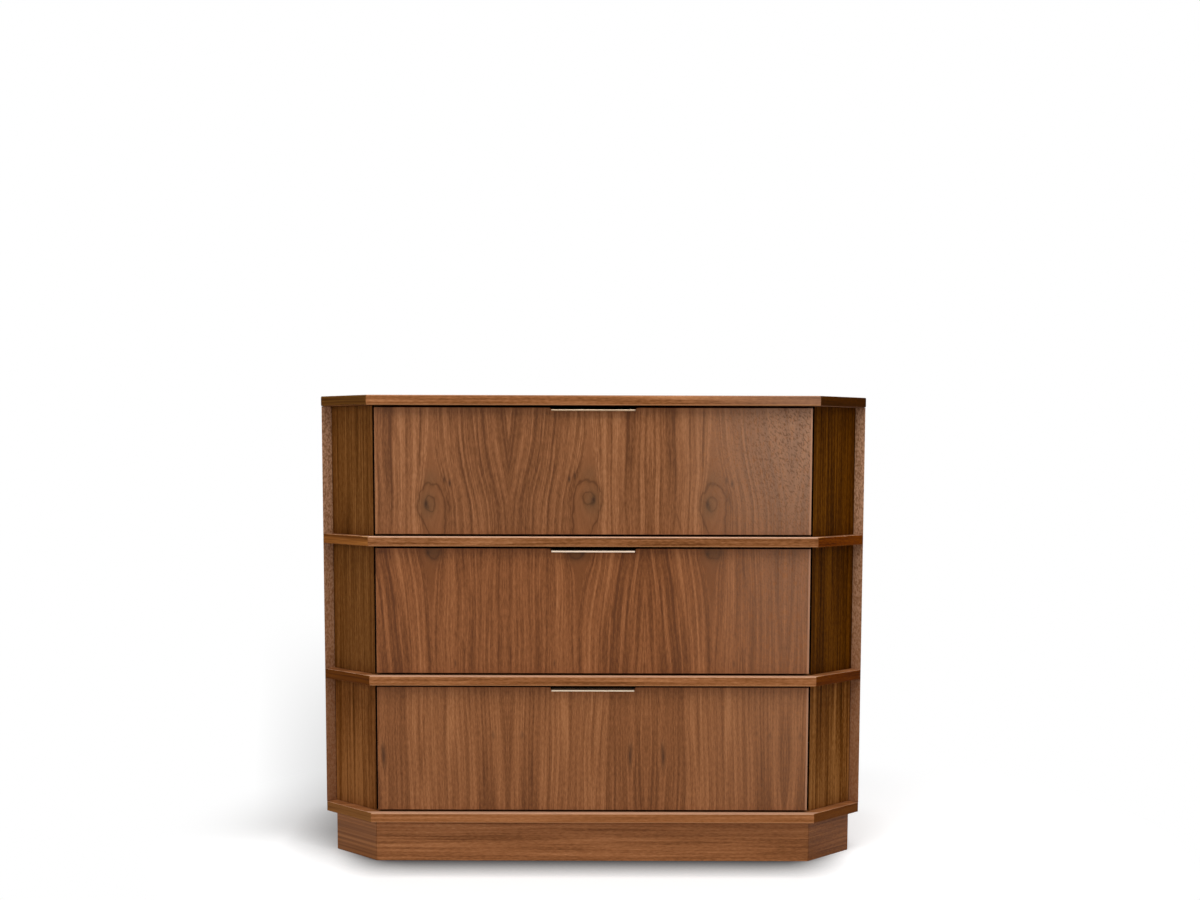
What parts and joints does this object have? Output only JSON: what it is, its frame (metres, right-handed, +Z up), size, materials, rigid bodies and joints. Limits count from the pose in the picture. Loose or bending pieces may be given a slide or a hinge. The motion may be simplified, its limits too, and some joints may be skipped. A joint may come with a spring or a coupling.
{
  "type": "chest of drawers",
  "caption": "Low walnut dresser with canted front corners, full-width drawers on telescopic slides, slim metal edge pulls and a recessed plinth.",
  "frame": {"origin": "middle of the footprint, on the floor", "axes": "+Z up, the drawers face -Y, +X along the width to the right as seen from the front"},
  "size_m": [1.018, 0.48, 0.862],
  "materials": {
    "walnut_slab": "satin lacquer over walnut veneer, grain along the width",
    "walnut_shelf": "satin lacquer over walnut veneer, grain along the width",
    "walnut_side": "satin lacquer over walnut veneer, upright grain",
    "walnut_cant": "satin lacquer over walnut veneer, upright grain",
    "walnut_front": "satin lacquer over matched leaves of walnut veneer, upright grain",
    "walnut_plinth": "satin lacquer over walnut veneer, grain along the boards",
    "birch_box": "clear lacquered pale solid wood",
    "birch_ply": "clear lacquered plywood",
    "back_ply": "unstained plywood",
    "zinc_steel": "zinc plated sheet steel",
    "rose_brass": "satin champagne plating"
  },
  "bodies": {
    "carcass": {"top_slab": "walnut_slab", "upper_divider": "walnut_shelf", "lower_divider": "walnut_shelf", "base_shelf": "walnut_shelf", "side_panel_left": "walnut_side", "side_panel_right": "walnut_side", "back_panel": "back_ply", "plinth_front": "walnut_plinth", "plinth_cant_left": "walnut_plinth", "plinth_side_left": "walnut_plinth", "plinth_cant_right": "walnut_plinth", "plinth_side_right": "walnut_plinth", "top_cant_panel_left": "walnut_cant", "top_bay_wall_left": "birch_ply", "top_cant_panel_right": "walnut_cant", "top_bay_wall_right": "birch_ply", "middle_cant_panel_left": "walnut_cant", "middle_bay_wall_left": "birch_ply", "middle_cant_panel_right": "walnut_cant", "middle_bay_wall_right": "birch_ply", "bottom_cant_panel_left": "walnut_cant", "bottom_bay_wall_left": "birch_ply", "bottom_cant_panel_right": "walnut_cant", "bottom_bay_wall_right": "birch_ply", "top_slide_cabinet_left": "zinc_steel", "top_slide_cabinet_right": "zinc_steel", "middle_slide_cabinet_left": "zinc_steel", "middle_slide_cabinet_right": "zinc_steel", "bottom_slide_cabinet_left": "zinc_steel", "bottom_slide_cabinet_right": "zinc_steel"},
    "top_drawer": {"top_drawer_front": "walnut_front", "top_drawer_side_left": "birch_box", "top_drawer_side_right": "birch_box", "top_drawer_back": "birch_box", "top_drawer_bottom": "birch_ply", "top_drawer_pull": "rose_brass", "top_slide_drawer_left": "zinc_steel", "top_slide_drawer_right": "zinc_steel"},
    "top_slides": {"top_slide_middle_left": "zinc_steel", "top_slide_middle_right": "zinc_steel"},
    "middle_drawer": {"middle_drawer_front": "walnut_front", "middle_drawer_side_left": "birch_box", "middle_drawer_side_right": "birch_box", "middle_drawer_back": "birch_box", "middle_drawer_bottom": "birch_ply", "middle_drawer_pull": "rose_brass", "middle_slide_drawer_left": "zinc_steel", "middle_slide_drawer_right": "zinc_steel"},
    "middle_slides": {"middle_slide_middle_left": "zinc_steel", "middle_slide_middle_right": "zinc_steel"},
    "bottom_drawer": {"bottom_drawer_front": "walnut_front", "bottom_drawer_side_left": "birch_box", "bottom_drawer_side_right": "birch_box", "bottom_drawer_back": "birch_box", "bottom_drawer_bottom": "birch_ply", "bottom_drawer_pull": "rose_brass", "bottom_slide_drawer_left": "zinc_steel", "bottom_slide_drawer_right": "zinc_steel"},
    "bottom_slides": {"bottom_slide_middle_left": "zinc_steel", "bottom_slide_middle_right": "zinc_steel"}
  },
  "joints": [
    {"name": "top_drawer_slide", "type": "slide", "parent": "carcass", "child": "top_drawer", "axis": [0, -1, 0], "range_m": [0, 0.4]},
    {"name": "top_middle_members", "type": "slide", "parent": "carcass", "child": "top_slides", "axis": [0, -1, 0], "range_m": [0, 0.2]},
    {"name": "middle_drawer_slide", "type": "slide", "parent": "carcass", "child": "middle_drawer", "axis": [0, -1, 0], "range_m": [0, 0.4]},
    {"name": "middle_middle_members", "type": "slide", "parent": "carcass", "child": "middle_slides", "axis": [0, -1, 0], "range_m": [0, 0.2]},
    {"name": "bottom_drawer_slide", "type": "slide", "parent": "carcass", "child": "bottom_drawer", "axis": [0, -1, 0], "range_m": [0, 0.4]},
    {"name": "bottom_middle_members", "type": "slide", "parent": "carcass", "child": "bottom_slides", "axis": [0, -1, 0], "range_m": [0, 0.2]}
  ],
  "couplings": [
    {"joint": "top_middle_members", "follows": "top_drawer_slide", "ratio": 0.5},
    {"joint": "middle_middle_members", "follows": "middle_drawer_slide", "ratio": 0.5},
    {"joint": "bottom_middle_members", "follows": "bottom_drawer_slide", "ratio": 0.5}
  ]
}
